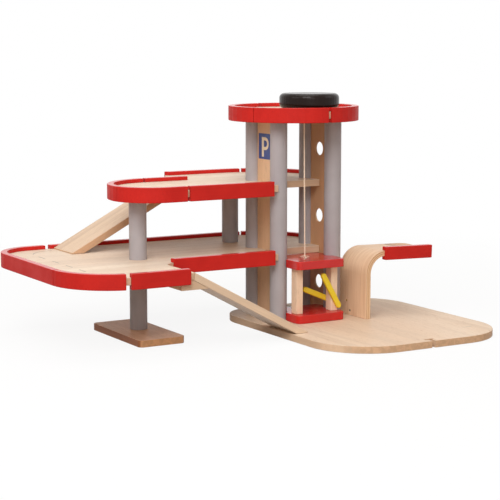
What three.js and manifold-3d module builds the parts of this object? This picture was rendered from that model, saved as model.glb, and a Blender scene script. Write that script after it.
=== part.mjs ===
// Toy parking garage with a hand-wound lift: wooden decks on round columns, grooved
// guard rails, two ramps, a bent plywood canopy and a lift cage with two gate bars.
// Millimetres, +Z up. Origin: centre of the lift tower, on the floor. +X is the long axis.
import * as THREE from "three";
import { mergeVertices } from "three/addons/utils/BufferGeometryUtils.js";
import Module from "manifold-3d";

const wasm = await Module();
wasm.setup();

// Clearances and facet steps
const gap = 0.3;
const overrun = 2;
const slidingGap = 1;
const arcStep = THREE.MathUtils.degToRad(7.5);
const chordSag = 0.08;
const weldReach = 0.03;
const roundSegments = 24;
const smallSegments = 12;
const quarterTurn = Math.PI / 2;

// Boards and storeys
const boardThickness = 10;
const boardRound = 0.4;
const storeyHeight = 100.3;
const roofStoreyHeight = 105.9;
const groundTop = boardThickness;
const lowerTop = groundTop + storeyHeight;
const upperTop = lowerTop + storeyHeight;
const roofTop = upperTop + roofStoreyHeight;

// Columns
const columnDiameter = 25;
const columnRadius = columnDiameter / 2;
const towerHalfX = 46.9;
const towerHalfY = 35.15;
const frontColumnX = -253.4;
const frontColumnY = 8.2;
const rearColumnX = -49.5;
const rearColumnY = 102.9;

// Tower panels and their peep holes
const panelThickness = 2.5;
const panelTuckShare = 0.25;
const panelHoleDiameter = 20.5;
const panelHoleRise = 46.2;

// Guard rails: a lip above and below the board, and a web round its edge
const railLip = 5.8;
const railOverlap = 5.5;
const railWeb = 4;
const railRound = 0.9;
const railRoundSegments = 2;
const railHeight = boardThickness + 2 * railLip;
const lowerFrontRailGap = 2.6;
const upperFrontRailGap = 4.6;

// Base board and foot plate
const baseRight = 202;
const baseLeft = -87;
const baseBack = 78;
const baseFront = -274;
const baseRightRound = 80;
const baseBackLeftRound = 53;
const baseFrontLeftRound = 88;
const footRight = -220.4;
const footLeft = -291.4;
const footBack = 83.6;
const footFront = -72;
const footRound = 7;

// Track slot in the front edge of the base board
const trackNeckX = 57.3;
const trackNeckWidth = 5.5;
const trackNeckDepth = 9;
const trackHeadLength = 16;
const trackHeadDepth = 4.5;

// Decks round the tower
const deckRight = 81;
const deckBack = 173;
const deckRearRound = 101;
const deckRightRound = 40;
const deckFront = -48;
const notchLeft = -55;
const tongueFront = -2;
const looseCorner = 2;

// Lower deck and its front lobe
const lowerLeft = -409;
const lowerRearRound = 56;
const lobeFront = -142;
const lobeRight = -243;
const lobeRound = 84;
const lobeInnerRound = 20;
const lobeRailGap = 5.6;

// Upper deck and the step where its ramp starts
const upperLeft = -287.5;
const stepX = -126;
const stepY = 92;
const stepRound = 3;
const upperRearRound = 84;
const upperFrontRound = 55;

// Top deck
const topDeckRadius = 92.2;

// Ramps and the ledges that carry their upper ends
const rampThickness = 10;
const rampNose = 1.6;
const lowerRampRun = 180.7;
const lowerRampBack = -70;
const lowerRampWidth = 70;
const upperRampRun = 188.7;
const upperRampWidth = 68;
const upperRampBack = 166;
const ledgeUnder = 19;
const ledgeHeight = 13.7;
const ledgeToe = 0.8;
const rampRound = 0.5;

// Bent plywood canopy
const canopyLeft = 67;
const canopyLength = 117;
const canopyBack = -26;
const canopyWidth = 70;
const canopyThickness = 8;
const canopyTop = 110;
const canopyBend = 34;
const canopyDroop = THREE.MathUtils.degToRad(1.5);
const canopyCornerRound = 10;
const canopyRailLeft = 98.5;
const canopyRailLength = 84.1;
const screwHoleDiameter = 4.5;
const screwHoleDepth = 6;
const upperScrewSetback = 18.4;
const upperScrewRise = 20.8;
const lowerScrewSetback = 27.5;
const lowerScrewRise = 6.4;

// Lift cage
const cageWidth = 82;
const cageFront = -81;
const cageBack = -6;
const cageRound = 8;
const cagePlateThickness = 12;
const cagePlateRound = 0.5;
const cagePostHeight = 66.1;
const cagePostWidth = 11;
const cagePostDepth = 14.6;
const cagePostX = 30;
const cagePostFront = -67.4;
const cagePostRound = 0.8;

// Gate bars on the right-hand post
const gateLength = 49.1;
const gateTail = 11.6;
const gateWidth = 8.2;
const gateThickness = 5;
const gateSetoff = 1.5;
const gateRise = 14.3;
const gateRound = 0.8;
const gatePinDiameter = 4;
const gatePinInset = 1.6;
const frontGateAngle = THREE.MathUtils.degToRad(60);
const rearGateAngle = THREE.MathUtils.degToRad(23);

// Winding knob, its axle and the string
const knobRadius = 43.5;
const knobHeight = 22;
const knobRound = 7;
const knobClearance = 3;
const knobWall = 7;
const knobRim = 1.5;
const knobDivisions = 4;
const knobRailGap = 0.2;
const knobY = railOverlap + knobRadius + knobRailGap - topDeckRadius;
const hubRadius = 8.5;
const axleRadius = 4;
const axleHeadRadius = 6;
const axleHeadHeight = 2.5;
const axleGrip = 13;
const washerRadius = 6.8;
const washerThickness = 3;
const windingRadius = 10.05;
const windingAngle = THREE.MathUtils.degToRad(190);
const stringDiameter = 2.2;
const stringHoleDiameter = 5.5;
const ringRadius = 6.6;
const ringWire = 1;
const ringTieX = -8.2;
const ringTieSetoff = 3;
const ringTieY = knobY - ringTieSetoff;
const ringTieAngle = THREE.MathUtils.degToRad(58);
const wireSegments = 8;
const stringSteps = 8;

// Finishes
const finish = {
  wood: new THREE.MeshStandardMaterial({ color: 0xe8c9a4, roughness: 0.55, metalness: 0 }),
  plywood: new THREE.MeshStandardMaterial({ color: 0xd9ae80, roughness: 0.5, metalness: 0 }),
  red: new THREE.MeshStandardMaterial({ color: 0xcd322d, roughness: 0.35, metalness: 0 }),
  grey: new THREE.MeshStandardMaterial({ color: 0xa39a9a, roughness: 0.45, metalness: 0 }),
  yellow: new THREE.MeshStandardMaterial({ color: 0xe7c83a, roughness: 0.35, metalness: 0 }),
  black: new THREE.MeshStandardMaterial({ color: 0x1c1a1a, roughness: 0.15, metalness: 0 }),
  steel: new THREE.MeshStandardMaterial({ color: 0xb8b8bc, roughness: 0.3, metalness: 1 }),
  string: new THREE.MeshStandardMaterial({ color: 0xf0dcc4, roughness: 0.8, metalness: 0 }),
};

// Solids and geometries
function toSolid(geometry) {
  const bare = geometry.clone();
  bare.deleteAttribute("normal");
  bare.deleteAttribute("uv");
  const welded = mergeVertices(bare);
  const mesh = new wasm.Mesh({
    numProp: 3,
    vertProperties: new Float32Array(welded.attributes.position.array),
    triVerts: new Uint32Array(welded.index.array),
  });
  return new wasm.Manifold(mesh);
}

function toGeometry(solid) {
  const mesh = solid.getMesh();
  const geometry = new THREE.BufferGeometry();
  geometry.setAttribute("position", new THREE.BufferAttribute(mesh.vertProperties, 3));
  geometry.setIndex(new THREE.BufferAttribute(mesh.triVerts, 1));
  geometry.computeVertexNormals();
  return geometry;
}

function cut(geometry, cutters) {
  let solid = toSolid(geometry);
  for (const cutter of cutters) {
    solid = solid.subtract(toSolid(cutter));
  }
  return toGeometry(solid);
}

function piece(name, geometry, material) {
  const mesh = new THREE.Mesh(geometry, material);
  mesh.name = name;
  return mesh;
}

function place(object, x, y, z) {
  object.position.set(x, y, z);
  return object;
}

// An upright round bar that stands on z = 0
function uprightBar(radius, height, segments = roundSegments) {
  const bar = new THREE.CylinderGeometry(radius, radius, height, segments);
  return bar.rotateX(quarterTurn).translate(0, 0, height / 2);
}

// A flat outline raised from z = 0 to the height, with its edges eased by the round
function board(outline, height, round = 0, segments = 1) {
  return new THREE.ExtrudeGeometry(new THREE.Shape(outline), {
    depth: height - 2 * round,
    bevelEnabled: round > 0,
    bevelThickness: round,
    bevelSize: round,
    bevelOffset: -round,
    bevelSegments: segments,
  }).translate(0, 0, round);
}

// A profile drawn in X and Z, carried backwards along Y from zero to the width
function sideProfile(outline, width, round = 0) {
  return board(outline, width, round).rotateX(quarterTurn).translate(0, width, 0);
}

// A revolved profile of (radius, z) points that starts and ends on the axis
function turned(profile, segments = roundSegments) {
  return new THREE.LatheGeometry(profile, segments).rotateX(quarterTurn);
}

function box(left, right, front, back, bottom, top) {
  const solid = new THREE.BoxGeometry(right - left, back - front, top - bottom);
  return solid.translate((left + right) / 2, (front + back) / 2, (bottom + top) / 2);
}

// An outline is a list of corners, anticlockwise, each with its rounding radius.
// The same corner gets the same number of points at every offset.
function cornerFrame(corners, i) {
  const count = corners.length;
  const here = new THREE.Vector2(corners[i].x, corners[i].y);
  const before = corners[(i + count - 1) % count];
  const after = corners[(i + 1) % count];
  const arriving = new THREE.Vector2(here.x - before.x, here.y - before.y).normalize();
  const leaving = new THREE.Vector2(after.x - here.x, after.y - here.y).normalize();
  const turn = Math.atan2(arriving.cross(leaving), arriving.dot(leaving));
  return { here, arriving, leaving, turn };
}

function cornerSteps(corners, i) {
  const radius = corners[i].r;
  if (radius === 0) {
    return 0;
  }
  const sagStep = 2 * Math.acos(1 - Math.min(chordSag / radius, 1));
  return Math.ceil(Math.abs(cornerFrame(corners, i).turn) / Math.max(arcStep, sagStep));
}

function cornerPoints(corners, i, offset) {
  const { here, arriving, leaving, turn } = cornerFrame(corners, i);
  const side = Math.sign(turn);
  const steps = cornerSteps(corners, i);
  const outIn = new THREE.Vector2(arriving.y, -arriving.x);
  const outOut = new THREE.Vector2(leaving.y, -leaving.x);
  const mitre = outIn.clone().add(outOut).multiplyScalar(offset / (1 + outIn.dot(outOut)));
  const tip = here.add(mitre);
  const radius = steps > 0 ? Math.max(corners[i].r + side * offset, 0) : 0;
  const start = tip.clone().addScaledVector(arriving, -radius * Math.tan(Math.abs(turn) / 2));
  const centre = start.clone().addScaledVector(outIn, -side * radius);
  const points = [];
  for (let step = 0; step <= steps; step += 1) {
    const swept = steps > 0 ? (turn * step) / steps : 0;
    points.push(start.clone().rotateAround(centre, swept));
  }
  return points;
}

function outlinePoints(corners, offset = 0) {
  return corners.flatMap((corner, i) => cornerPoints(corners, i, offset));
}

function distinct(points) {
  return points.filter((point, i) => {
    const before = points[(i + points.length - 1) % points.length];
    return point.distanceTo(before) > weldReach;
  });
}

function outlineLengths(points) {
  const lengths = [0];
  points.forEach((point, i) => {
    lengths.push(lengths[i] + point.distanceTo(points[(i + 1) % points.length]));
  });
  return lengths;
}

// The share of the outline's length at a distance before the start of one corner
function shareBefore(corners, cornerIndex, distance) {
  const lengths = outlineLengths(outlinePoints(corners));
  let skipped = 0;
  for (let i = 0; i < cornerIndex; i += 1) {
    skipped += cornerSteps(corners, i) + 1;
  }
  return (lengths[skipped] - distance) / lengths[lengths.length - 1];
}

// The strip along an outline between two shares of its length, from railWeb outside it
// to railOverlap inside it. Corners nearer the strip's ends than its rounding are left out.
function stripOutline(corners, fromShare, toShare) {
  const lengths = outlineLengths(outlinePoints(corners));
  const count = lengths.length - 1;
  const margin = (2 * railRound) / lengths[count];
  const between = [];
  for (let turn = -1; turn <= 1; turn += 1) {
    for (let i = 0; i < count; i += 1) {
      const share = lengths[i] / lengths[count] + turn;
      if (share > fromShare + margin && share < toShare - margin) {
        between.push(i);
      }
    }
  }
  const side = (offset) => {
    const points = outlinePoints(corners, offset);
    return [
      endPoint(corners, fromShare, offset),
      ...between.map((i) => points[i]),
      endPoint(corners, toShare, offset),
    ];
  };
  return distinct([...side(railWeb), ...side(-railOverlap).reverse()]);
}

// Whether each step of an outline runs along an arc, or straight on to the next corner
function arcFlags(corners) {
  return corners.flatMap((corner, i) => [...Array(cornerSteps(corners, i)).fill(true), false]);
}

// The point at a share of the outline's length, moved square to the edge by the offset
function endPoint(corners, share, offset) {
  const edge = outlinePoints(corners);
  const moved = outlinePoints(corners, offset);
  const lengths = outlineLengths(edge);
  const count = edge.length;
  const target = (share - Math.floor(share)) * lengths[count];
  let i = 0;
  while (i < count - 1 && lengths[i + 1] <= target) {
    i += 1;
  }
  const next = (i + 1) % count;
  const part = (target - lengths[i]) / (lengths[i + 1] - lengths[i]);
  if (arcFlags(corners)[i]) {
    return moved[i].clone().lerp(moved[next], part);
  }
  const along = edge[next].clone().sub(edge[i]).normalize();
  const outward = new THREE.Vector2(along.y, -along.x);
  return edge[i].clone().lerp(edge[next], part).addScaledVector(outward, offset);
}

// Outlines of the boards
const baseCorners = [
  { x: baseRight, y: baseBack, r: baseRightRound },
  { x: baseLeft, y: baseBack, r: baseBackLeftRound },
  { x: baseLeft, y: baseFront, r: baseFrontLeftRound },
  { x: baseRight, y: baseFront, r: baseRightRound },
];

const lowerCorners = [
  { x: deckRight, y: deckBack, r: deckRearRound },
  { x: lowerLeft, y: deckBack, r: lowerRearRound },
  { x: lowerLeft, y: lobeFront, r: lobeRound },
  { x: lobeRight, y: lobeFront, r: looseCorner },
  { x: lobeRight, y: deckFront, r: lobeInnerRound },
  { x: notchLeft, y: deckFront, r: 0 },
  { x: notchLeft, y: tongueFront, r: 0 },
  { x: deckRight, y: tongueFront, r: deckRightRound },
];

const upperCorners = [
  { x: deckRight, y: deckBack, r: deckRearRound },
  { x: stepX, y: deckBack, r: looseCorner },
  { x: stepX, y: stepY, r: stepRound },
  { x: upperLeft, y: stepY, r: upperRearRound },
  { x: upperLeft, y: deckFront, r: upperFrontRound },
  { x: notchLeft, y: deckFront, r: 0 },
  { x: notchLeft, y: tongueFront, r: 0 },
  { x: deckRight, y: tongueFront, r: deckRightRound },
];

const topCorners = [
  { x: topDeckRadius, y: topDeckRadius, r: topDeckRadius },
  { x: -topDeckRadius, y: topDeckRadius, r: topDeckRadius },
  { x: -topDeckRadius, y: -topDeckRadius, r: topDeckRadius },
  { x: topDeckRadius, y: -topDeckRadius, r: topDeckRadius },
];

// Where each rail starts and ends, in shares of its board's outline
const lobeCorner = 3;
const notchCorner = 5;
const columnReach = towerHalfX + columnRadius + notchLeft;
const lowerRailShares = {
  lower_rail_rear_right: [-0.0183, 0.0878],
  lower_rail_rear: [0.0906, 0.3097],
  lower_rail_left: [0.3151, 0.5115],
  lower_rail_front_left: [0.5123, 0.5859],
  lower_rail_lobe: [0.5907, shareBefore(lowerCorners, lobeCorner, lobeRailGap)],
  lower_rail_front: [0.7225, shareBefore(lowerCorners, notchCorner, columnReach + lowerFrontRailGap)],
};
const upperRailShares = {
  upper_rail_rear_right: [-0.0255, 0.1224],
  upper_rail_rear: [0.1268, shareBefore(upperCorners, 1, 0)],
  upper_rail_rear_left: [0.3303, 0.3968],
  upper_rail_left: [0.4, 0.5324],
  upper_rail_front_left: [0.5329, 0.6321],
  upper_rail_front: [0.6363, shareBefore(upperCorners, notchCorner, columnReach + upperFrontRailGap)],
};
const topRailShares = {
  top_rail_rear_right: [-0.0148, 0.2564],
  top_rail_rear_left: [0.2667, 0.5595],
  top_rail_front_left: [0.5609, 0.7493],
  top_rail_front_right: [0.7586, 0.9845],
};

// Tower columns and the panels between them
function columnCutters(places, grow, height) {
  return places.map(([x, y]) => {
    return uprightBar(columnRadius + grow, height + 2 * overrun).translate(x, y, -overrun);
  });
}

const towerPlaces = [
  [-towerHalfX, -towerHalfY],
  [towerHalfX, -towerHalfY],
  [-towerHalfX, towerHalfY],
  [towerHalfX, towerHalfY],
];

function column(name, x, y, bottom, top) {
  const bar = uprightBar(columnRadius, top - bottom - 2 * gap);
  return place(piece(name, bar, finish.grey), x, y, bottom + gap);
}

function panelBlock(side, grow, bottom, top) {
  const middle = side * towerHalfX;
  const half = panelThickness / 2 + grow;
  const reach = towerHalfY - (1 - panelTuckShare) * columnRadius + grow;
  return box(middle - half, middle + half, -reach, reach, bottom, top);
}

function panel(name, side, hasHoles) {
  const bottom = groundTop + gap;
  const top = roofTop - boardThickness - gap;
  const cutters = columnCutters(towerPlaces, gap, roofTop);
  if (hasHoles) {
    for (const floor of [groundTop, lowerTop, upperTop]) {
      const hole = new THREE.CylinderGeometry(
        panelHoleDiameter / 2,
        panelHoleDiameter / 2,
        panelThickness + 2 * overrun,
        roundSegments,
      );
      cutters.push(hole.rotateZ(quarterTurn).translate(side * towerHalfX, 0, floor + panelHoleRise));
    }
  }
  return piece(name, cut(panelBlock(side, 0, bottom, top), cutters), finish.wood);
}

// Boards that the columns and panels pass through
function deck(name, corners, extraColumns) {
  const cutters = columnCutters([...towerPlaces, ...extraColumns], gap, boardThickness);
  for (const side of [-1, 1]) {
    cutters.push(panelBlock(side, gap, -overrun, boardThickness + overrun));
  }
  const blank = board(distinct(outlinePoints(corners)), boardThickness, boardRound);
  return piece(name, cut(blank, cutters), finish.wood);
}

function topDeck() {
  const bore = uprightBar(axleRadius + gap, boardThickness + 2 * overrun);
  const stringHole = uprightBar(stringHoleDiameter / 2, boardThickness + 2 * overrun, smallSegments);
  const cutters = [
    bore.translate(0, knobY, -overrun),
    stringHole.translate(stringX, stringY, -overrun),
  ];
  const blank = board(distinct(outlinePoints(topCorners)), boardThickness, boardRound);
  return piece("top_deck", cut(blank, cutters), finish.wood);
}

// Guard rails: strips with a groove that takes the board's edge
function rails(corners, shares) {
  const groove = board(distinct(outlinePoints(corners, gap)), boardThickness + 2 * gap);
  groove.translate(0, 0, -gap);
  return Object.entries(shares).map(([name, [fromShare, toShare]]) => {
    const strip = stripOutline(corners, fromShare, toShare);
    const blank = board(strip, railHeight, railRound, railRoundSegments);
    blank.translate(0, 0, -railLip);
    return piece(name, cut(blank, [groove]), finish.red);
  });
}

function level(top, parts) {
  const group = new THREE.Group();
  group.add(...parts);
  return place(group, 0, 0, top - boardThickness);
}

// Base board with its track slot, and the foot plate
function baseBoard() {
  const neck = box(
    trackNeckX - trackNeckWidth / 2,
    trackNeckX + trackNeckWidth / 2,
    baseFront - overrun,
    baseFront + trackNeckDepth,
    -overrun,
    boardThickness + overrun,
  );
  const headX = trackHeadLength / 2;
  const headY = baseFront + trackNeckDepth;
  const head = board(
    distinct(outlinePoints([
      { x: trackNeckX + headX, y: headY + trackHeadDepth, r: trackHeadDepth / 2 },
      { x: trackNeckX - headX, y: headY + trackHeadDepth, r: trackHeadDepth / 2 },
      { x: trackNeckX - headX, y: headY, r: trackHeadDepth / 2 },
      { x: trackNeckX + headX, y: headY, r: trackHeadDepth / 2 },
    ])),
    boardThickness + 2 * overrun,
  ).translate(0, 0, -overrun);
  const blank = board(distinct(outlinePoints(baseCorners)), boardThickness, boardRound);
  return piece("base_board", cut(blank, [neck, head]), finish.wood);
}

function footPlate() {
  const corners = [
    { x: footRight, y: footBack, r: footRound },
    { x: footLeft, y: footBack, r: footRound },
    { x: footLeft, y: footFront, r: footRound },
    { x: footRight, y: footFront, r: footRound },
  ];
  return piece("foot_plate", board(outlinePoints(corners), boardThickness, boardRound), finish.wood);
}

// A ramp that starts at x = 0, z = 0 and runs down along +X to its nose
function rampOutline(run, drop) {
  const slope = drop / run;
  const length = Math.hypot(run, drop);
  const upright = (rampThickness * length) / run;
  const heel = rampThickness * length / drop - rampNose / slope;
  return [
    new THREE.Vector2(0, 0),
    new THREE.Vector2(0, -upright),
    new THREE.Vector2(run - heel, -drop - rampNose),
    new THREE.Vector2(run, -drop - rampNose),
    new THREE.Vector2(run, -drop),
  ];
}

function ramp(name, run, drop, width) {
  const outline = rampOutline(run - gap, drop - gap - rampNose);
  return piece(name, sideProfile(outline, width, rampRound), finish.wood);
}

// The ledge under a deck's edge: flat under the board, bevelled under the ramp
function ledge(name, run, drop, width) {
  const slope = (drop - gap - rampNose) / (run - gap);
  const upright = rampThickness * Math.hypot(1, slope) + gap * Math.hypot(1, slope);
  const bottom = -boardThickness - gap - ledgeHeight;
  const reach = (-upright - bottom - ledgeToe) / slope;
  const outline = [
    new THREE.Vector2(-ledgeUnder, -boardThickness - gap),
    new THREE.Vector2(-ledgeUnder, bottom),
    new THREE.Vector2(reach, bottom),
    new THREE.Vector2(reach, bottom + ledgeToe),
    new THREE.Vector2(0, -upright),
    new THREE.Vector2(-gap, -boardThickness - gap),
  ];
  return piece(name, sideProfile(outline, width), finish.wood);
}

// The lower ledge is notched for the lip of the lobe's rail
function lowerRamp() {
  const group = new THREE.Group();
  group.add(ramp("lower_ramp", lowerRampRun, storeyHeight, lowerRampWidth));
  const rest = ledge("lower_ramp_ledge", lowerRampRun, storeyHeight, lowerRampWidth);
  const front = lowerRampBack - lowerRampWidth;
  const notch = box(
    -ledgeUnder - overrun,
    -looseCorner - lobeRailGap,
    -overrun,
    lobeFront + railOverlap + gap - front,
    -boardThickness - railLip - gap,
    0,
  );
  rest.geometry = cut(rest.geometry, [notch]);
  group.add(rest);
  return place(group, lobeRight + gap, front, lowerTop);
}

// The upper ramp runs the other way, so its group is turned half round
function upperRamp() {
  const group = new THREE.Group();
  group.add(ramp("upper_ramp", upperRampRun, storeyHeight, upperRampWidth));
  group.add(ledge("upper_ramp_ledge", upperRampRun, storeyHeight, upperRampWidth));
  group.rotation.z = Math.PI;
  return place(group, stepX - gap, upperRampBack, upperTop);
}

// Bent plywood: a leg, a bend and a roof that droops a little, in one thickness. The roof
// runs past its end, where the plan cuts it.
function canopyOutline(droop) {
  const height = canopyTop - groundTop - gap;
  const inner = canopyBend - canopyThickness;
  const middle = height - canopyBend;
  const end = canopyLength + overrun;
  const fall = (end - canopyBend) * Math.tan(droop);
  const shape = new THREE.Path();
  shape.moveTo(0, 0);
  shape.lineTo(canopyThickness, 0);
  shape.absarc(canopyBend, middle, inner, Math.PI, quarterTurn - droop, true);
  shape.lineTo(end, middle + inner / Math.cos(droop) - fall);
  shape.lineTo(end, middle + canopyBend / Math.cos(droop) - fall);
  shape.absarc(canopyBend, middle, canopyBend, quarterTurn - droop, Math.PI, false);
  return distinct(shape.getPoints(roundSegments / 2));
}

function canopyShell() {
  const height = canopyTop - groundTop - gap;
  const shell = sideProfile(canopyOutline(canopyDroop), canopyWidth);
  const plan = [
    { x: canopyLength, y: canopyWidth, r: canopyCornerRound },
    { x: 0, y: canopyWidth, r: 0 },
    { x: 0, y: 0, r: 0 },
    { x: canopyLength, y: 0, r: 0 },
  ];
  const rounded = board(outlinePoints(plan), height);
  const holes = [
    screwHole(canopyWidth - upperScrewSetback, upperScrewRise),
    screwHole(canopyWidth - lowerScrewSetback, lowerScrewRise),
  ];
  let solid = toSolid(shell).intersect(toSolid(rounded));
  for (const hole of holes) {
    solid = solid.subtract(toSolid(hole));
  }
  return piece("canopy_shell", toGeometry(solid), finish.plywood);
}

function screwHole(y, rise) {
  const radius = screwHoleDiameter / 2;
  const length = screwHoleDepth + overrun;
  const hole = new THREE.CylinderGeometry(radius, radius, length, smallSegments);
  return hole.rotateZ(quarterTurn).translate((screwHoleDepth - overrun) / 2, y, rise);
}

// The canopy's rail is a straight strip, grooved for the roof's front edge and the
// end of the bend, and turned about the bend's centre to droop with the roof
function canopyRail() {
  const height = canopyThickness + 2 * railLip;
  const depth = railWeb + railOverlap;
  const strip = [
    new THREE.Vector2(0, 0),
    new THREE.Vector2(canopyRailLength, 0),
    new THREE.Vector2(canopyRailLength, depth),
    new THREE.Vector2(0, depth),
  ];
  const blank = board(strip, height, railRound, railRoundSegments);
  const groove = box(
    -overrun,
    canopyLeft + canopyLength - canopyRailLeft + gap,
    railWeb - gap,
    depth + overrun,
    railLip - gap,
    height - railLip + gap,
  );
  const bottom = canopyTop - canopyThickness - railLip;
  const bend = sideProfile(canopyOutline(0), depth);
  bend.translate(canopyLeft - canopyRailLeft, railWeb - gap, groundTop - bottom);
  const rail = piece("canopy_rail", cut(blank, [groove, bend]), finish.red);
  const pivotX = canopyLeft + canopyBend;
  const pivotZ = canopyTop - canopyBend;
  rail.geometry.translate(canopyRailLeft - pivotX, 0, bottom - pivotZ);
  rail.rotation.y = canopyDroop;
  return place(rail, pivotX, canopyBack - canopyWidth - railWeb, pivotZ);
}

function canopy() {
  const group = new THREE.Group();
  group.add(place(canopyShell(), canopyLeft, canopyBack - canopyWidth, groundTop + gap));
  group.add(canopyRail());
  return group;
}

// Lift cage: two plates scalloped round the front columns, and two posts
const cageFloorBottom = groundTop + gap;
const cageFloorTop = cageFloorBottom + cagePlateThickness;
const cageRoofBottom = cageFloorTop + cagePostHeight + 2 * gap;
const cageRoofTop = cageRoofBottom + cagePlateThickness;

function cagePlate(name, bottom) {
  const half = cageWidth / 2;
  const corners = [
    { x: half, y: cageBack, r: cageRound },
    { x: -half, y: cageBack, r: cageRound },
    { x: -half, y: cageFront, r: cageRound },
    { x: half, y: cageFront, r: cageRound },
  ];
  const blank = board(outlinePoints(corners), cagePlateThickness, cagePlateRound);
  const cutters = columnCutters(towerPlaces.slice(0, 2), slidingGap, cagePlateThickness);
  return place(piece(name, cut(blank, cutters), finish.red), 0, 0, bottom);
}

function cagePost(name, side) {
  const half = cagePostWidth / 2;
  const corners = [
    { x: half, y: cagePostDepth, r: cagePostRound },
    { x: -half, y: cagePostDepth, r: cagePostRound },
    { x: -half, y: 0, r: cagePostRound },
    { x: half, y: 0, r: cagePostRound },
  ];
  let post = board(outlinePoints(corners), cagePostHeight);
  if (side > 0) {
    const radius = gatePinDiameter / 2 + gap;
    const reach = cagePostDepth + 2 * overrun;
    const bore = new THREE.CylinderGeometry(radius, radius, reach, smallSegments);
    post = cut(post, [bore.translate(gateSetoff, cagePostDepth / 2, gateRise)]);
  }
  const x = side * cagePostX;
  return place(piece(name, post, finish.wood), x, cagePostFront, cageFloorTop + gap);
}

// Gate bars turn on a pin that runs through the right-hand post
const gatePivotX = cagePostX + gateSetoff;
const gatePivotZ = cageFloorTop + gap + gateRise;

function gateOutline() {
  const half = gateWidth / 2;
  return distinct(outlinePoints([
    { x: gateTail, y: half, r: half },
    { x: -gateLength, y: half, r: half },
    { x: -gateLength, y: -half, r: half },
    { x: gateTail, y: -half, r: half },
  ]));
}

function gateBar(name, angle, front, boreFront) {
  const radius = gatePinDiameter / 2 + gap;
  const bore = new THREE.CylinderGeometry(radius, radius, gateThickness, smallSegments);
  const blank = sideProfile(gateOutline(), gateThickness, gateRound);
  const bar = piece(name, cut(blank, [bore.translate(0, boreFront, 0)]), finish.yellow);
  bar.rotation.y = angle;
  return place(bar, gatePivotX, front, gatePivotZ);
}

function gatePin() {
  const radius = gatePinDiameter / 2;
  const length = cagePostDepth + 2 * (gateThickness - gatePinInset);
  const bar = new THREE.CylinderGeometry(radius, radius, length, smallSegments);
  const y = cagePostFront + cagePostDepth / 2;
  return place(piece("gate_pin", bar, finish.wood), gatePivotX, y, gatePivotZ);
}

function gates() {
  const half = gateThickness / 2;
  const frontOfBar = cagePostFront - gap - gateThickness;
  const rearOfBar = cagePostFront + cagePostDepth + gap;
  return [
    gateBar("gate_bar_front", frontGateAngle, frontOfBar, half + gatePinInset),
    gateBar("gate_bar_rear", rearGateAngle, rearOfBar, half - gatePinInset),
    gatePin(),
  ];
}

// The string hangs from the winding chamber to a ring on the cage roof
const stringX = windingRadius * Math.cos(windingAngle);
const stringY = knobY + windingRadius * Math.sin(windingAngle);
const ringTop = cageRoofTop + gap + ringWire;
const knobBottom = roofTop + knobClearance;

function stringRing() {
  const wire = new THREE.TorusGeometry(ringRadius, ringWire / 2, wireSegments, roundSegments);
  const x = ringTieX + ringRadius * Math.cos(ringTieAngle);
  const y = ringTieY + ringRadius * Math.sin(ringTieAngle);
  return place(piece("string_ring", wire, finish.string), x, y, cageRoofTop + gap + ringWire / 2);
}

function liftString() {
  const path = new THREE.LineCurve3(
    new THREE.Vector3(ringTieX, ringTieY, ringTop + gap),
    new THREE.Vector3(stringX, stringY, knobBottom + knobClearance),
  );
  const section = new THREE.Shape();
  section.absarc(0, 0, stringDiameter / 2, 0, 2 * Math.PI);
  const cord = new THREE.ExtrudeGeometry(section, {
    extrudePath: path,
    steps: stringSteps,
    curveSegments: wireSegments / 2,
  });
  return piece("lift_string", cord, finish.string);
}

function lift() {
  const group = new THREE.Group();
  group.add(cagePlate("cage_floor", cageFloorBottom));
  group.add(cagePlate("cage_roof", cageRoofBottom));
  group.add(cagePost("cage_post_left", -1));
  group.add(cagePost("cage_post_right", 1));
  group.add(...gates());
  group.add(stringRing());
  group.add(liftString());
  return group;
}

// Winding knob: a thick disc, hollow underneath, with a hub that the string winds on
function knobProfile() {
  const shape = new THREE.Path();
  const top = knobHeight;
  const chamber = knobRadius - knobRound - knobRim;
  shape.moveTo(0, axleGrip + gap);
  shape.lineTo(axleRadius + gap, axleGrip + gap);
  shape.lineTo(axleRadius + gap, gap - knobClearance);
  shape.lineTo(hubRadius, gap - knobClearance);
  shape.lineTo(hubRadius, top - knobWall);
  shape.lineTo(chamber, top - knobWall);
  shape.lineTo(chamber, 0);
  shape.lineTo(knobRadius - knobRound, 0);
  shape.absarc(knobRadius - knobRound, knobRound, knobRound, -quarterTurn, 0, false);
  shape.absarc(knobRadius - knobRound, top - knobRound, knobRound, 0, quarterTurn, false);
  shape.lineTo(0, top);
  return distinct(shape.getPoints(knobDivisions));
}

function windingKnob() {
  const knob = piece("winding_knob", turned(knobProfile(), 2 * roundSegments), finish.black);
  return place(knob, 0, 0, knobBottom);
}

function knobAxle() {
  const underside = roofTop - boardThickness - gap - washerThickness - gap;
  const top = knobBottom + axleGrip;
  const profile = [
    new THREE.Vector2(0, underside - axleHeadHeight),
    new THREE.Vector2(axleHeadRadius, underside - axleHeadHeight),
    new THREE.Vector2(axleHeadRadius, underside),
    new THREE.Vector2(axleRadius, underside),
    new THREE.Vector2(axleRadius, top),
    new THREE.Vector2(0, top),
  ];
  return piece("knob_axle", turned(profile), finish.steel);
}

function axleWasher() {
  const bottom = roofTop - boardThickness - gap - washerThickness;
  const blank = uprightBar(washerRadius, washerThickness);
  const bore = uprightBar(axleRadius + gap, washerThickness + 2 * overrun);
  const washer = cut(blank, [bore.translate(0, 0, -overrun)]);
  return place(piece("axle_washer", washer, finish.steel), 0, 0, bottom);
}

function knob() {
  const group = new THREE.Group();
  group.add(windingKnob(), knobAxle(), axleWasher());
  return place(group, 0, knobY, 0);
}

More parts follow.
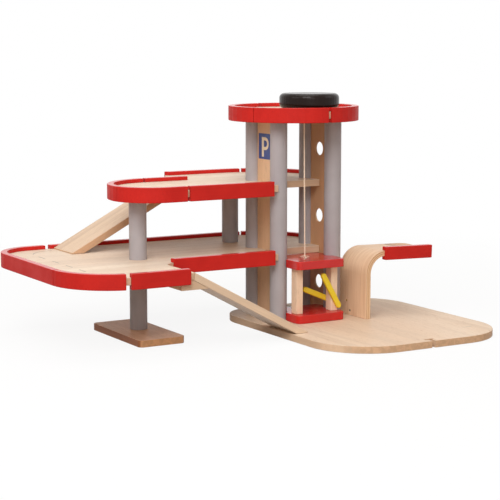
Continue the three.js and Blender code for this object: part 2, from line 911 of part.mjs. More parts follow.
// The whole garage
function columns() {
  const names = ["front_left", "front_right", "rear_left", "rear_right"];
  const underRoof = roofTop - boardThickness;
  const tower = towerPlaces.map(([x, y], i) => {
    return column(`tower_column_${names[i]}`, x, y, groundTop, underRoof);
  });
  const underUpper = upperTop - boardThickness;
  return [
    ...tower,
    column("deck_column_front", frontColumnX, frontColumnY, boardThickness, underUpper),
    column("deck_column_rear", rearColumnX, rearColumnY, lowerTop, underUpper),
  ];
}

const garage = new THREE.Group();
garage.add(baseBoard(), footPlate(), ...columns());
garage.add(panel("tower_panel_left", -1, false), panel("tower_panel_right", 1, true));
const passing = [[frontColumnX, frontColumnY]];
const lowerParts = [deck("lower_deck", lowerCorners, passing), ...rails(lowerCorners, lowerRailShares)];
const upperParts = [deck("upper_deck", upperCorners, []), ...rails(upperCorners, upperRailShares)];
const topParts = [topDeck(), ...rails(topCorners, topRailShares)];
garage.add(level(lowerTop, lowerParts), level(upperTop, upperParts), level(roofTop, topParts));
garage.add(lowerRamp(), upperRamp(), canopy(), lift(), knob());

export default garage;
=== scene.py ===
# Looks of the toy parking garage with lift: finishes, string, screws, sign, lane marks, light and camera.
import math

import bmesh
import bpy
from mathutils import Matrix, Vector


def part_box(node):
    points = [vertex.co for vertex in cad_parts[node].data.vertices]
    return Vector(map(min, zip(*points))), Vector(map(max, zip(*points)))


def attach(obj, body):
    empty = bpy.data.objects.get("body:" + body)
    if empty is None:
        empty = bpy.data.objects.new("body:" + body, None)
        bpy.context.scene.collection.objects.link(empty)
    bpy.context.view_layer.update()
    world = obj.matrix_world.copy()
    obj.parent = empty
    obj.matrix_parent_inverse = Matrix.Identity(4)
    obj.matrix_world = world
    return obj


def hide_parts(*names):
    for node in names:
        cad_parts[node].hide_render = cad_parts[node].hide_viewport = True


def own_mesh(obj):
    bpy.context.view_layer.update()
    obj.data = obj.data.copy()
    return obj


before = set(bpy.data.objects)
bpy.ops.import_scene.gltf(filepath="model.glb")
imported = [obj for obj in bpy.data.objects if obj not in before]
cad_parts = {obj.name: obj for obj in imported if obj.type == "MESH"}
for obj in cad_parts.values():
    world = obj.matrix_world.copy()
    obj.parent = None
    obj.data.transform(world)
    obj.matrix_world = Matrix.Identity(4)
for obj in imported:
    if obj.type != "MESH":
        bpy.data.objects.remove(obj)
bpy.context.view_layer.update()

MM = 0.001
WHITE = (1, 1, 1, 1)

# Camera at the photograph's viewing angle: turned right and down in degrees, with its lens in mm
CAMERA_PLACE = (-1.1953, -1.9113, 0.4203)
CAMERA_RIGHT = 30.39
CAMERA_DOWN = 7.93
CAMERA_LENS = 109.5
CAMERA_SENSOR = 36


def make_camera():
    data = bpy.data.cameras.new("photo_camera")
    data.lens = CAMERA_LENS
    data.sensor_width = CAMERA_SENSOR
    data.clip_start = 0.05
    data.clip_end = 50
    camera = bpy.data.objects.new("photo_camera", data)
    camera.location = CAMERA_PLACE
    camera.rotation_euler = (math.radians(90 - CAMERA_DOWN), 0, math.radians(-CAMERA_RIGHT))
    bpy.context.scene.collection.objects.link(camera)
    bpy.context.scene.camera = camera


make_camera()


# Node trees and materials
def rgb(colour, share=1.0):
    """A screen colour in values from 0 to 255, times a share, as Blender's linear values."""
    def linear(value):
        value /= 255
        return value / 12.92 if value <= 0.04045 else ((value + 0.055) / 1.055) ** 2.4
    return (*(linear(value * share) for value in colour), 1.0)


class Nodes:
    """A node tree that is built step by step. Each input is a value or another node's output."""

    def __init__(self, tree):
        self.tree = tree
        tree.nodes.clear()

    def put(self, socket, value):
        if isinstance(value, bpy.types.NodeSocket):
            self.tree.links.new(value, socket)
        else:
            socket.default_value = value

    def node(self, kind, inputs=None, **settings):
        """A new node with its settings, and its inputs by name or number."""
        made = self.tree.nodes.new(kind)
        for name, value in settings.items():
            setattr(made, name, value)
        for key, value in (inputs or {}).items():
            self.put(made.inputs[key], value)
        return made

    def calc(self, operation, *values):
        return self.node("ShaderNodeMath", dict(enumerate(values)), operation=operation).outputs[0]

    def mix(self, factor, first, second):
        inputs = {0: factor, 6: first, 7: second}
        return self.node("ShaderNodeMix", inputs, data_type="RGBA").outputs[2]

    def blend(self, factor, first, second):
        """A mix of two shaders."""
        return self.node("ShaderNodeMixShader", {0: factor, 1: first, 2: second}).outputs[0]


class Shade(Nodes):
    """A Principled material on the object's own coordinates."""

    def __init__(self, name):
        self.material = bpy.data.materials.new(name)
        self.material.use_nodes = True
        super().__init__(self.material.node_tree)
        out = self.node("ShaderNodeOutputMaterial")
        self.shader = self.node("ShaderNodeBsdfPrincipled")
        self.put(out.inputs["Surface"], self.shader.outputs["BSDF"])
        coords = self.node("ShaderNodeTexCoord")
        self.place = coords.outputs["Object"]
        self.normal = coords.outputs["Normal"]

    def scaled(self, scale, vector=None, turn=(0, 0, 0), shift=(0, 0, 0)):
        inputs = {"Vector": vector or self.place, "Scale": scale, "Rotation": turn, "Location": shift}
        return self.node("ShaderNodeMapping", inputs).outputs["Vector"]

    def noise(self, scale, vector=None, detail=3, roughness=0.5, distortion=0.0):
        """Noise from 0 to 1, with its cells per metre as one number or one for each axis."""
        per_axis = scale if isinstance(scale, tuple) else (scale, scale, scale)
        inputs = {"Vector": self.scaled(per_axis, vector), "Scale": 1.0, "Detail": detail,
                  "Roughness": roughness, "Distortion": distortion}
        return self.node("ShaderNodeTexNoise", inputs).outputs["Fac"]

    def ramp(self, value, stops):
        """Screen colours at positions from 0 to 1, and straight changes between them."""
        node = self.node("ShaderNodeValToRGB", {"Fac": value})
        elements = node.color_ramp.elements
        while len(elements) < len(stops):
            elements.new(0.5)
        for element, (position, colour) in zip(elements, stops):
            element.position = position
            element.color = rgb(colour)
        return node.outputs["Color"]

    def level(self, value, low, high, to_low=0.0, to_high=1.0):
        """Eases from one level to another while the value goes from low to high."""
        inputs = {"Value": value, "From Min": low, "From Max": high, "To Min": to_low, "To Max": to_high}
        return self.node("ShaderNodeMapRange", inputs, interpolation_type="SMOOTHSTEP").outputs["Result"]

    def tint(self, under, mask, low, high, share, colour):
        """Lays a share of a colour over another where the mask rises from low to high."""
        return self.mix(self.level(mask, low, high, 0, share), under, colour)

    def join(self, *values):
        return self.node("ShaderNodeCombineXYZ", dict(enumerate(values))).outputs[0]

    def part(self, vector, axis):
        return self.node("ShaderNodeSeparateXYZ", {0: vector}).outputs["xyz".index(axis)]

    def bump(self, height, distance, strength, ease=0.0):
        """Fine relief, on edges that look rounded by the ease."""
        node = self.node("ShaderNodeBump", {"Height": height, "Distance": distance, "Strength": strength})
        if ease:
            soft = self.node("ShaderNodeBevel", {"Radius": ease}, samples=4)
            self.put(node.inputs["Normal"], soft.outputs["Normal"])
        self.put(self.shader.inputs["Normal"], node.outputs["Normal"])

    def finish(self, colour, roughness, coat=0.0, coat_roughness=0.1, specular=0.5):
        self.put(self.shader.inputs["Base Color"], colour)
        self.put(self.shader.inputs["Roughness"], roughness)
        self.put(self.shader.inputs["Coat Weight"], coat)
        self.shader.inputs["Coat Roughness"].default_value = coat_roughness
        self.shader.inputs["Specular IOR Level"].default_value = specular
        return self.material


def along_grain(grain, along, across, depth):
    """Noise cells per metre along the grain's axis and across it, in the order X, Y, Z."""
    order = {"x": (along, across, depth), "y": (across, along, depth), "z": (across, depth, along)}
    return order[grain]


def wood(name, grain="x", face="z", tilt=0.0, shift=(0, 0, 0), light=(236, 216, 193),
         warm=(228, 202, 175), edge=(234, 202, 170), end=(222, 184, 148)):
    """Lacquered beech: soft bands and fine pores along the grain, short dark flecks, and warmer sawn edges
    on the faces that don't look along the face axis. Some boards' colours also carry painted light and
    painted shade."""
    dark_fleck = (190, 158, 130)
    shade = Shade(name)
    base = shade.scaled((1, 1, 1), turn=(0, tilt, 0), shift=shift)
    bands = shade.noise(along_grain(grain, 2.2, 42, 30), base, detail=4, roughness=0.55, distortion=0.9)
    broad = shade.noise(along_grain(grain, 1.6, 9, 9), base, detail=2, distortion=0.3)
    fibre = shade.noise(along_grain(grain, 24, 1500, 1500), base, roughness=0.6)
    fleck = shade.noise(along_grain(grain, 95, 1050, 1050), base, detail=2, roughness=0.45)
    colour = shade.mix(shade.level(broad, 0.3, 0.7), rgb(light), rgb(warm))
    colour = shade.tint(colour, bands, 0.42, 0.66, 0.55, rgb(warm, 0.93))
    colour = shade.tint(colour, fibre, 0.35, 0.75, 0.22, rgb(warm, 0.84))
    colour = shade.tint(colour, fleck, 0.6, 0.7, 0.5, rgb(dark_fleck))
    if face:
        flat = shade.calc("ABSOLUTE", shade.part(shade.normal, face))
        rings = shade.noise(160, base, detail=4, roughness=0.6, distortion=0.4)
        side = shade.mix(shade.level(bands, 0.3, 0.7), rgb(edge), rgb(edge, 0.9))
        side = shade.tint(side, fibre, 0.35, 0.75, 0.3, rgb(edge, 0.8))
        endwise = shade.calc("ABSOLUTE", shade.part(shade.normal, grain))
        pores = shade.mix(shade.level(rings, 0.35, 0.65), rgb(end), rgb(end, 0.92))
        side = shade.mix(shade.level(endwise, 0.55, 0.85), side, pores)
        colour = shade.mix(shade.level(flat, 0.45, 0.8), side, colour)
    rough = shade.calc("ADD", shade.level(fibre, 0.3, 0.7, 0.38, 0.5), shade.level(fleck, 0.6, 0.7, 0, 0.12))
    height = shade.calc("SUBTRACT", fibre, shade.level(fleck, 0.58, 0.72, 0, 0.8))
    shade.bump(height, distance=0.12 * MM, strength=0.5, ease=0.4 * MM)
    return shade.finish(colour, rough, specular=0.12)


def plywood(name, bend_x, bend_z, outer, thickness):
    """Bent veneer: the grain runs round the bend, and the plies and their glue lines follow it at the cut
    edges, from the outer face at 0 to the inner face at 1."""
    face, pale, mid = (238, 207, 175), (236, 204, 166), (220, 178, 136)
    dark, glue = (184, 132, 88), (118, 76, 48)
    haze, fibre_tone, vein_tone = (232, 196, 160), (184, 136, 96), (208, 164, 124)
    shade = Shade(name)
    x, y, z = (shade.part(shade.place, axis) for axis in "xyz")
    inside_x = shade.calc("MINIMUM", shade.calc("SUBTRACT", x, bend_x), 0.0)
    above_z = shade.calc("MAXIMUM", shade.calc("SUBTRACT", z, bend_z), 0.0)
    squares = (shade.calc("MULTIPLY", side, side) for side in (inside_x, above_z))
    radius = shade.calc("SQRT", shade.calc("ADD", *squares))
    depth = shade.calc("DIVIDE", shade.calc("SUBTRACT", outer, radius), thickness)
    unrolled = shade.join(shade.calc("ADD", x, z), y, radius)
    wander = shade.calc("SUBTRACT", shade.noise(25, detail=2), 0.5)
    ply = shade.calc("ADD", depth, shade.calc("MULTIPLY", wander, 0.02))
    layers = shade.ramp(ply, [
        (0.0, face), (0.13, face), (0.15, glue), (0.17, dark), (0.31, mid), (0.33, pale), (0.48, pale),
        (0.5, glue), (0.52, dark), (0.66, mid), (0.68, pale), (0.83, pale), (0.85, glue), (0.87, face)])
    veins = shade.noise((9, 300, 300), unrolled, detail=4, roughness=0.55, distortion=0.5)
    fibre = shade.noise((22, 1400, 1400), unrolled, roughness=0.6)
    cloud = shade.noise((5, 26, 26), unrolled, distortion=0.6)
    colour = shade.tint(layers, cloud, 0.35, 0.65, 0.25, rgb(haze))
    colour = shade.tint(colour, fibre, 0.4, 0.75, 0.4, rgb(fibre_tone))
    colour = shade.tint(colour, veins, 0.48, 0.7, 0.45, rgb(vein_tone))
    height = shade.calc("ADD", fibre, shade.calc("MULTIPLY", veins, 0.4))
    shade.bump(height, distance=0.15 * MM, strength=0.5, ease=0.4 * MM)
    return shade.finish(colour, shade.level(fibre, 0.3, 0.7, 0.38, 0.5), specular=0.25)


def paint(name, colour, deep, gloss, grain="x", spread=0.5, specular=0.3, peel=0.06 * MM,
          lacquer=0.0):
    """Paint on turned or sawn wood: faint grain under the film, brush haze, slight orange peel, and a share
    of clear lacquer that has settled on the faces that look up."""
    shade = Shade(name)
    grain_lines = shade.noise(along_grain(grain, 12, 520, 520), roughness=0.55)
    haze = shade.noise(38, distortion=0.4)
    dimple = shade.noise(900, detail=2)
    mixed = shade.tint(rgb(colour), haze, 0.32, 0.68, spread, rgb(deep))
    mixed = shade.tint(mixed, grain_lines, 0.55, 0.75, spread * 0.4, rgb(deep, 0.82))
    rough = shade.calc("ADD", shade.level(haze, 0.3, 0.7, *gloss), shade.level(dimple, 0.4, 0.8, 0, 0.04))
    height = shade.calc("ADD", dimple, shade.calc("MULTIPLY", grain_lines, 0.8))
    shade.bump(height, distance=peel, strength=0.5, ease=0.5 * MM)
    settled = shade.level(shade.part(shade.normal, "z"), 0.5, 0.9, 0, lacquer) if lacquer else 0.0
    return shade.finish(mixed, rough, coat=settled, coat_roughness=0.16, specular=specular)


def cotton(name):
    """Twisted cotton: fluffy fine fibres across the strands, darker in the grooves."""
    light, groove, stain = (250, 232, 210), (232, 205, 178), (240, 214, 188)
    shade = Shade(name)
    fluff = shade.noise((2600, 2600, 900), roughness=0.6)
    patch = shade.noise((260, 260, 60), detail=2)
    colour = shade.mix(shade.level(fluff, 0.35, 0.7), rgb(light), rgb(groove))
    colour = shade.tint(colour, patch, 0.4, 0.7, 0.4, rgb(stain))
    shade.bump(fluff, distance=0.1 * MM, strength=0.8)
    shade.shader.inputs["Sheen Weight"].default_value = 0.25
    shade.shader.inputs["Sheen Roughness"].default_value = 0.5
    return shade.finish(colour, shade.level(fluff, 0.3, 0.7, 0.75, 0.92))


def metal(name, tone):
    """Bare metal with fine scratches and cloudy patches."""
    shade = Shade(name)
    scratch = shade.noise((300, 4200, 300), roughness=0.6)
    cloud = shade.noise(420, roughness=0.55, distortion=0.6)
    colour = shade.mix(shade.level(cloud, 0.35, 0.7), rgb(tone), rgb(tone, 0.8))
    shade.bump(scratch, distance=0.04 * MM, strength=0.6)
    shade.shader.inputs["Metallic"].default_value = 1.0
    return shade.finish(colour, shade.level(scratch, 0.3, 0.7, 0.22, 0.42))


def printed(name, colour, deep):
    """Screen print on wood: an even film that lets a little grain through."""
    shade = Shade(name)
    grain_lines = shade.noise((900, 900, 18), roughness=0.55)
    haze = shade.noise(90)
    mixed = shade.mix(shade.level(haze, 0.35, 0.65), rgb(colour), rgb(deep))
    mixed = shade.tint(mixed, grain_lines, 0.55, 0.75, 0.3, rgb(deep, 0.86))
    shade.bump(grain_lines, distance=0.06 * MM, strength=0.5)
    return shade.finish(mixed, shade.level(haze, 0.3, 0.7, 0.34, 0.46), coat=0.1, coat_roughness=0.2)


# Finishes of the CAD nodes: colours in screen values, gloss as the least and the most roughness
RAMP_RISE = 100 * MM
RAMP_RUN = 181 * MM
RAMP_TILT = math.atan2(RAMP_RISE, RAMP_RUN)
DECK_TONE = {"light": (239, 223, 202), "warm": (233, 211, 188)}
CANOPY_LEG_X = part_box("canopy_shell")[0].x
CANOPY_TOP_Z = 110 * MM
CANOPY_BEND = 34 * MM
CANOPY_THICKNESS = 8 * MM


def dress(material, *names):
    for name in names:
        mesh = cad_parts[name].data
        mesh.materials.clear()
        mesh.materials.append(material)


def named(word):
    """The CAD nodes that have a word in their names."""
    return [name for name in sorted(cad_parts) if word in name]


def dress_boards():
    dress(wood("wood_base", grain="y", shift=(0.31, 0, 0)), "base_board")
    # The foot plate's wood has a paler top and much darker sides than the other boards: painted light on its
    # top and painted shade on its sides, which lie under the lower deck.
    dress(wood("wood_foot_painted_light_and_shade", grain="y", shift=(0.7, 0.2, 0), light=(248, 212, 184), warm=(240, 194, 162),
               edge=(186, 122, 86), end=(228, 172, 126)), "foot_plate")
    dress(wood("wood_lower", shift=(0, 0.4, 0), **DECK_TONE), "lower_deck", "lower_ramp_ledge")
    dress(wood("wood_upper", shift=(0.9, 0.1, 0), **DECK_TONE), "upper_deck", "upper_ramp_ledge")
    dress(wood("wood_top", shift=(0.2, 0.8, 0), **DECK_TONE), "top_deck")
    # The lower ramp's sides are paler than its top: painted light where the lamps fall on its front side.
    dress(wood("wood_lower_ramp_painted_light", tilt=-RAMP_TILT, shift=(0.5, 0.3, 0), edge=(248, 220, 190)), "lower_ramp")
    dress(wood("wood_upper_ramp", tilt=RAMP_TILT, shift=(0.1, 0.6, 0), light=(226, 202, 176),
               warm=(214, 184, 156), edge=(224, 182, 146)), "upper_ramp")


def dress_uprights():
    dress(wood("wood_panel", grain="z", face="x", shift=(0, 0.15, 0.3), light=(237, 205, 172),
               warm=(228, 188, 151)), "tower_panel_left")
    # The right-hand panel's wood is darker and browner than the left-hand one's: painted shade of the
    # columns and decks in front of it, on a slightly browner tone.
    dress(wood("wood_panel_right_painted_shade", grain="z", face="x", shift=(0.3, 0.45, 0.1), light=(224, 180, 140),
               warm=(210, 162, 120), edge=(214, 170, 130)), "tower_panel_right")
    dress(wood("wood_post", grain="z", face=None, shift=(0.4, 0, 0.1), light=(246, 224, 200),
               warm=(240, 208, 178)), "cage_post_left", "cage_post_right", "gate_pin")
    dress(plywood("plywood_canopy", bend_x=CANOPY_LEG_X + CANOPY_BEND, bend_z=CANOPY_TOP_Z - CANOPY_BEND,
                  outer=CANOPY_BEND, thickness=CANOPY_THICKNESS), "canopy_shell")


def dress_painted():
    dress(paint("red_rail", (202, 42, 36), (188, 36, 32), gloss=(0.42, 0.52), specular=0.12, lacquer=0.8),
          *named("rail"))
    dress(paint("red_cage", (204, 36, 30), (188, 30, 27), gloss=(0.1, 0.18), specular=0.4),
          "cage_floor", "cage_roof")
    dress(paint("grey_column", (174, 169, 172), (163, 157, 160), gloss=(0.4, 0.5), grain="z", spread=0.4),
          *named("column"))
    dress(paint("yellow_gate", (238, 212, 54), (228, 200, 44), gloss=(0.24, 0.34)),
          "gate_bar_front", "gate_bar_rear")
    dress(paint("black_knob", (33, 21, 16), (23, 14, 10), gloss=(0.15, 0.21), spread=0.6, specular=0.17,
                peel=0.01 * MM), "winding_knob")


dress_boards()
dress_uprights()
dress_painted()
dress(metal("zinc_metal", (188, 188, 192)), "knob_axle", "axle_washer")
dress(cotton("cotton_ring"), "string_ring", "lift_string")


# Mesh pieces
def new_piece(name, mesh, material, body, smooth=True):
    shape = bpy.data.meshes.new(name)
    bmesh.ops.recalc_face_normals(mesh, faces=mesh.faces)
    mesh.to_mesh(shape)
    mesh.free()
    shape.materials.append(material)
    for polygon in shape.polygons:
        polygon.use_smooth = smooth
    piece = bpy.data.objects.new(name, shape)
    bpy.context.scene.collection.objects.link(piece)
    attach(piece, body)
    return piece


def full_turn(count):
    """Angles that share a full turn evenly."""
    return [2 * math.pi * k / count for k in range(count)]


def arc(centre, radius, start, stop, steps):
    """Points on a round stretch between two angles in degrees."""
    angles = [math.radians(start + (stop - start) * k / steps) for k in range(steps + 1)]
    return [(centre[0] + radius * math.cos(a), centre[1] + radius * math.sin(a)) for a in angles]


def join_rings(mesh, first, second):
    """A band of faces between two rings of equally many vertices."""
    for k in range(len(first)):
        j = (k + 1) % len(first)
        mesh.faces.new((first[k], first[j], second[j], second[k]))


def tube(mesh, points, radius, sides, closed=False):
    """A round tube along a line of points, with its ends capped unless it is closed."""
    count = len(points)
    rings = []
    side = None
    for i, point in enumerate(points):
        before = points[i - 1] if closed or i > 0 else point
        after = points[(i + 1) % count] if closed or i < count - 1 else point
        along = (after - before).normalized()
        if side is None:
            side = along.orthogonal().normalized()
        side = (side - along * side.dot(along)).normalized()
        other = along.cross(side)
        rings.append([mesh.verts.new(point + side * radius * math.cos(a) + other * radius * math.sin(a))
                      for a in full_turn(sides)])
    for low, high in zip(rings, rings[1:]):
        join_rings(mesh, low, high)
    if closed:
        join_rings(mesh, rings[-1], rings[0])
    else:
        mesh.faces.new(rings[0][::-1])
        mesh.faces.new(rings[-1])


def prism(mesh, outline, height):
    """A flat outline in X and Y, raised along Z."""
    low = [mesh.verts.new((x, y, 0)) for x, y in outline]
    high = [mesh.verts.new((x, y, height)) for x, y in outline]
    join_rings(mesh, low, high)
    mesh.faces.new(low[::-1])
    mesh.faces.new(high)


# The string: three twisted strands from the ring on the cage up into the knob's chamber
STRING_LOW = Vector((-0.0082, -0.046, 0.1026))
STRING_HIGH = Vector((-0.0099, -0.04475, 0.3225))
STRANDS = 3
STRAND_SIDES = 6
KNOT_SIDES = 8
cotton_string = cotton("cotton_string")


def twisted_string():
    pitch, steps_per_turn = 7 * MM, 10
    strand_offset, strand_radius = 0.5 * MM, 0.6 * MM
    mesh = bmesh.new()
    along = STRING_HIGH - STRING_LOW
    count = int(along.length / pitch * steps_per_turn)
    for start in full_turn(STRANDS):
        points = []
        for i in range(count + 1):
            angle = start + 2 * math.pi * i / steps_per_turn
            twist = Vector((math.cos(angle), math.sin(angle), 0)) * strand_offset
            points.append(STRING_LOW + along * (i / count) + twist)
        tube(mesh, points, strand_radius, STRAND_SIDES)
    string = new_piece("twisted_string", mesh, cotton_string, "garage")
    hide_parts("lift_string")
    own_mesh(string)


# The knot that ties the string to its ring: turns round the string, a loop through the ring, a loose end
def string_knot():
    mesh = bmesh.new()
    knot_turns(mesh)
    ring_loop(mesh)
    string_tail(mesh)
    new_piece("string_knot", mesh, cotton_string, "lift_cage")


def knot_turns(mesh):
    reach, low, height, radius = 0.95 * MM, 0.5 * MM, 1.9 * MM, 0.45 * MM
    steps, steps_per_turn = 30, 12
    points = []
    for i in range(steps + 1):
        turn = 2 * math.pi * i / steps_per_turn
        rise = low + height * i / steps
        points.append(STRING_LOW + Vector((reach * math.cos(turn), reach * math.sin(turn), rise)))
    tube(mesh, points, radius, KNOT_SIDES)


def ring_loop(mesh):
    half_width, half_height, drop, radius, steps = 1.0, 0.95, 0.6, 0.42, 16
    loop = []
    for turn in full_turn(steps):
        offset = Vector((half_width * math.sin(turn), 0, half_height * math.cos(turn) - drop))
        loop.append(STRING_LOW + offset * MM)
    tube(mesh, loop, radius * MM, KNOT_SIDES, closed=True)


def string_tail(mesh):
    """The string's short loose end: it drops from the knot and lies on the cage roof, in three strands."""
    length, wave, wave_turn, fall, steps = 22 * MM, 1.8 * MM, 4.2, 3.2, 24
    strand_offset, strand_radius, steps_per_turn = 0.42 * MM, 0.5 * MM, 8
    lift = 1.0 * MM
    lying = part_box("cage_roof")[1].z + lift
    start = STRING_LOW + Vector((-0.8, -1.0, 1.4)) * MM
    forward, across, up = Vector((-0.5, -0.866, 0)), Vector((0.866, -0.5, 0)), Vector((0, 0, 1))
    line = []
    for i in range(steps + 1):
        t = i / steps
        point = start + forward * length * t + across * wave * math.sin(wave_turn * t)
        point.z = lying + max(0.0, start.z - lying) * max(0.0, 1 - fall * t) ** 2
        line.append(point)
    for strand in range(STRANDS):
        turned = []
        for i, point in enumerate(line):
            angle = 2 * math.pi * (strand / STRANDS + i / steps_per_turn)
            turned.append(point + (across * math.cos(angle) + up * math.sin(angle)) * strand_offset)
        tube(mesh, turned, strand_radius, STRAND_SIDES)


twisted_string()
string_knot()

# Countersunk screws in the canopy's leg: the head's radius and how far it lies behind the face, in mm
SCREW_PROFILE = [(2.0, 1.6), (2.0, 0.35), (1.75, 0.12), (1.2, 0.0)]
SCREW_SIDES = 24
RECESS_DEPTH = 0.8 * MM
RECESS_TAPER = 0.6


def recess_reach(step):
    """How far the cross recess reaches towards one of the screw's sides."""
    arm_end, arm_side, corner = 1.05 * MM, 0.42 * MM, 0.36 * MM
    quarter = SCREW_SIDES // 4
    if step % quarter in (0, 1, quarter - 1):
        return arm_end
    return corner if step % quarter == quarter // 2 else arm_side


def screw(name, y, z, depth, material):
    """A head with a cross recess, sunk into its hole along +X by a depth."""
    mesh = bmesh.new()
    x = CANOPY_LEG_X + depth
    angles = full_turn(SCREW_SIDES)

    def ring(offset, reaches):
        return [mesh.verts.new((x + offset, y + reach * math.cos(a), z + reach * math.sin(a)))
                for a, reach in zip(angles, reaches)]

    loops = [ring(back * MM, [radius * MM] * SCREW_SIDES) for radius, back in SCREW_PROFILE]
    reaches = [recess_reach(step) for step in range(SCREW_SIDES)]
    mouth = ring(0.0, reaches)
    floor = ring(RECESS_DEPTH, [reach * RECESS_TAPER for reach in reaches])
    loops += [mouth, floor]
    for first, second in zip(loops, loops[1:]):
        join_rings(mesh, first, second)
    mesh.faces.new(loops[0])
    mesh.faces.new(floor)
    new_piece(name, mesh, material, "garage", smooth=False)


screw("canopy_screw_upper", y=-44.4 * MM, z=31.1 * MM, depth=0.5 * MM,
      material=metal("brass_metal", (226, 196, 120)))
# The lower head is painted dark: painted shade of the deeper hole it sits in.
screw("canopy_screw_lower", y=-53.5 * MM, z=16.7 * MM, depth=0.8 * MM,
      material=metal("dark_metal_painted_shade", (48, 36, 28)))

# The blue parking sign on the left-hand panel
SIGN_HALF = 18.75 * MM
SIGN_CORNER = 0.8 * MM
SIGN_MIDDLE_Z = 263.05 * MM
SIGN_FILM = 0.22 * MM
LETTER_FILM = 0.14 * MM
LETTER_PROUD = 0.2 * MM


def sign():
    reach = SIGN_HALF - SIGN_CORNER
    outline = []
    for quarter, (side_x, side_y) in enumerate(((1, 1), (-1, 1), (-1, -1), (1, -1))):
        start = 90 * quarter
        outline += arc((side_x * reach, side_y * reach), SIGN_CORNER, start, start + 90, steps=3)
    mesh = bmesh.new()
    prism(mesh, outline, SIGN_FILM)
    place_sign(mesh, 0.0)
    blue = printed("blue_print", (44, 66, 138), (38, 57, 124))
    cream = printed("cream_print", (244, 226, 196), (236, 214, 182))
    new_piece("parking_sign", mesh, blue, "garage", smooth=False)
    new_piece("parking_letter", letter(), cream, "garage", smooth=False)


def place_sign(mesh, proud):
    """Moves a flat shape on to the panel's face, with its X along -Y and its Y up."""
    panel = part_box("tower_panel_left")[0]
    for vert in mesh.verts:
        flat_x, flat_y, rise = vert.co
        vert.co = Vector((panel.x - proud - rise, -flat_x, SIGN_MIDDLE_Z + flat_y))


def letter():
    """A plain bold P: a stem and a half-ring bowl, in one outline with its counter cut out."""
    left, right, top, bottom = -9.6 * MM, 9.6 * MM, 13.4 * MM, -15.3 * MM
    stem_width, bowl_width = 5.6 * MM, 4.6 * MM
    stem_right = left + stem_width
    outer_radius = 9.4 * MM
    inner_radius = outer_radius - bowl_width
    centre = (right - outer_radius, top - outer_radius)
    steps = 14
    outer = [(left, top), (left, bottom), (stem_right, bottom), (stem_right, centre[1] - outer_radius),
             *arc(centre, outer_radius, -90, 90, steps)]
    inner = [(stem_right, centre[1] - inner_radius), *arc(centre, inner_radius, -90, 90, steps),
             (stem_right, centre[1] + inner_radius)]
    mesh = bmesh.new()
    edges = []
    for loop in (outer, inner):
        verts = [mesh.verts.new((x, y, 0)) for x, y in loop]
        edges += [mesh.edges.new((verts[i], verts[(i + 1) % len(verts)])) for i in range(len(verts))]
    bmesh.ops.triangle_fill(mesh, use_beauty=True, use_dissolve=False, edges=edges)
    raised = bmesh.ops.extrude_face_region(mesh, geom=list(mesh.faces))
    for vert in (v for v in raised["geom"] if isinstance(v, bmesh.types.BMVert)):
        vert.co.z += LETTER_FILM
    place_sign(mesh, LETTER_PROUD)
    return mesh


sign()

# The dashed lane line along the lower deck's left edge, with each dash's ends in mm, and a mark on the base
LANE_X = -366 * MM
LANE_DASHES = [(101.3, 77.3), (50.5, 27.4), (3.8, -18), (-40.9, -62)]
LANE_BEND_MIDDLE = (-328 * MM, 113.3 * MM)
LANE_BEND_RADIUS = 38 * MM
LANE_BEND_START, LANE_BEND_STOP = 160, 84
LANE_WIDTH = 1.8 * MM
BASE_MARK = [(152 * MM, -217 * MM), (167 * MM, -217 * MM)]
BASE_MARK_WIDTH = 1.2 * MM
LANE_FILM = 0.08 * MM


def lane_marks():
    deck_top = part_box("lower_deck")[1].z
    mesh = bmesh.new()
    for back, front in LANE_DASHES:
        stripe(mesh, [(LANE_X, back * MM), (LANE_X, front * MM)], LANE_WIDTH, deck_top)
    bend = arc(LANE_BEND_MIDDLE, LANE_BEND_RADIUS, LANE_BEND_START, LANE_BEND_STOP, steps=12)
    stripe(mesh, bend, LANE_WIDTH, deck_top)
    stripe(mesh, BASE_MARK, BASE_MARK_WIDTH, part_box("base_board")[1].z)
    grey = printed("grey_print", (172, 160, 140), (156, 142, 122))
    new_piece("lane_marks", mesh, grey, "garage", smooth=False)


def stripe(mesh, points, width, top):
    """A flat painted line of a given width along a run of points on a board."""
    near, far = [], []
    for i, (x, y) in enumerate(points):
        before, after = points[max(i - 1, 0)], points[min(i + 1, len(points) - 1)]
        along = Vector((after[0] - before[0], after[1] - before[1])).normalized()
        near.append((x - along.y * width / 2, y + along.x * width / 2))
        far.append((x + along.y * width / 2, y - along.x * width / 2))
    start = len(mesh.verts)
    prism(mesh, near + far[::-1], LANE_FILM)
    mesh.verts.ensure_lookup_table()
    for vert in list(mesh.verts)[start:]:
        vert.co.z += top


lane_marks()

# Floor and background: white where they are looked at, dimmer and warmer in the light they throw on the toy
FLOOR_HALF = 3.0
FLOOR_DROP = 0.6 * MM
FLOOR_SEEN = (0.86, 0.855, 0.85, 1)
FLOOR_BOUNCE = (0.42, 0.34, 0.28, 1)
GLOW_NEAR, GLOW_FAR = 0.9, 1.0
GLOW_START, GLOW_END = 0.35, 1.1
ROOM_COLOUR = (1, 0.88, 0.78, 1)
ROOM_STRENGTH = 0.3


def background_rays(nodes):
    """One where the camera, a reflection or a clear piece looks at the background."""
    path = nodes.node("ShaderNodeLightPath")
    seen = nodes.calc("MAXIMUM", path.outputs["Is Camera Ray"], path.outputs["Is Glossy Ray"])
    return nodes.calc("MAXIMUM", seen, path.outputs["Is Transmission Ray"])


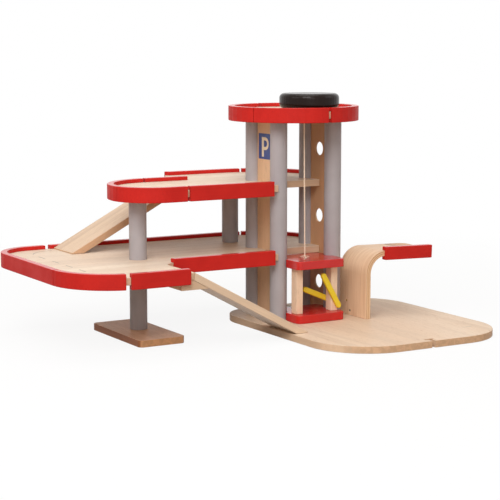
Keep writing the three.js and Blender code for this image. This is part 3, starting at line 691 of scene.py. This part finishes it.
def floor_white():
    """A floor that shows soft shadows near the toy and fades to pure white away from it."""
    material = bpy.data.materials.new("floor_white")
    material.use_nodes = True
    nodes = Nodes(material.node_tree)
    out = nodes.node("ShaderNodeOutputMaterial")
    seen = background_rays(nodes)
    matt = nodes.node("ShaderNodeBsdfDiffuse", {"Color": nodes.mix(seen, FLOOR_BOUNCE, FLOOR_SEEN)})
    glow = nodes.node("ShaderNodeEmission", {"Color": WHITE})
    place = nodes.node("ShaderNodeTexCoord").outputs["Object"]
    reach = nodes.node("ShaderNodeVectorMath", {0: place}, operation="LENGTH").outputs["Value"]
    fade = nodes.node("ShaderNodeMapRange", {"Value": reach, "From Min": GLOW_START, "From Max": GLOW_END,
                                             "To Min": GLOW_NEAR, "To Max": GLOW_FAR}).outputs["Result"]
    share = nodes.calc("MULTIPLY", seen, fade)
    nodes.put(out.inputs["Surface"], nodes.blend(share, matt.outputs[0], glow.outputs[0]))
    return material


def stage():
    mesh = bmesh.new()
    bmesh.ops.create_grid(mesh, x_segments=8, y_segments=8, size=FLOOR_HALF)
    shape = bpy.data.meshes.new("floor")
    mesh.to_mesh(shape)
    mesh.free()
    shape.materials.append(floor_white())
    floor = bpy.data.objects.new("floor", shape)
    floor.location = (0, 0, -FLOOR_DROP)
    bpy.context.scene.collection.objects.link(floor)


def make_world():
    world = bpy.data.worlds.new("studio")
    world.use_nodes = True
    nodes = Nodes(world.node_tree)
    out = nodes.node("ShaderNodeOutputWorld")
    room = nodes.node("ShaderNodeBackground", {"Color": ROOM_COLOUR, "Strength": ROOM_STRENGTH})
    white = nodes.node("ShaderNodeBackground", {"Color": WHITE, "Strength": 1.0})
    blend = nodes.blend(background_rays(nodes), room.outputs[0], white.outputs[0])
    nodes.put(out.inputs["Surface"], blend)
    bpy.context.scene.world = world


# Soft lamps, all turned to one point on the toy: sizes in metres, power in watts
LIT_POINT = Vector((-0.08, -0.05, 0.16))


def lamp(name, place, size, power, colour=(1, 1, 1)):
    data = bpy.data.lights.new(name, "AREA")
    data.shape = "RECTANGLE"
    data.size, data.size_y = size
    data.energy = power
    data.color = colour
    light = bpy.data.objects.new(name, data)
    light.location = place
    light.rotation_euler = (LIT_POINT - Vector(place)).to_track_quat("-Z", "Y").to_euler()
    light.visible_camera = False
    bpy.context.scene.collection.objects.link(light)


stage()
make_world()
lamp("key_lamp", place=(-1.4, -1.6, 1.95), size=(1.6, 1.4), power=47, colour=(1, 0.995, 0.99))
lamp("front_lamp", place=(-1.0, -2.1, 0.75), size=(1.4, 0.8), power=5, colour=(1, 0.985, 0.97))
lamp("left_lamp", place=(-2.2, -0.1, 1.3), size=(1.2, 1.2), power=8, colour=(1, 0.99, 0.98))
lamp("right_lamp", place=(1.7, -1.2, 1.4), size=(1.2, 1.2), power=5, colour=(0.97, 0.985, 1))
lamp("top_lamp", place=(-0.1, 0.1, 2.4), size=(1.6, 1.6), power=18)

scene = bpy.context.scene
scene.view_settings.view_transform = "Standard"
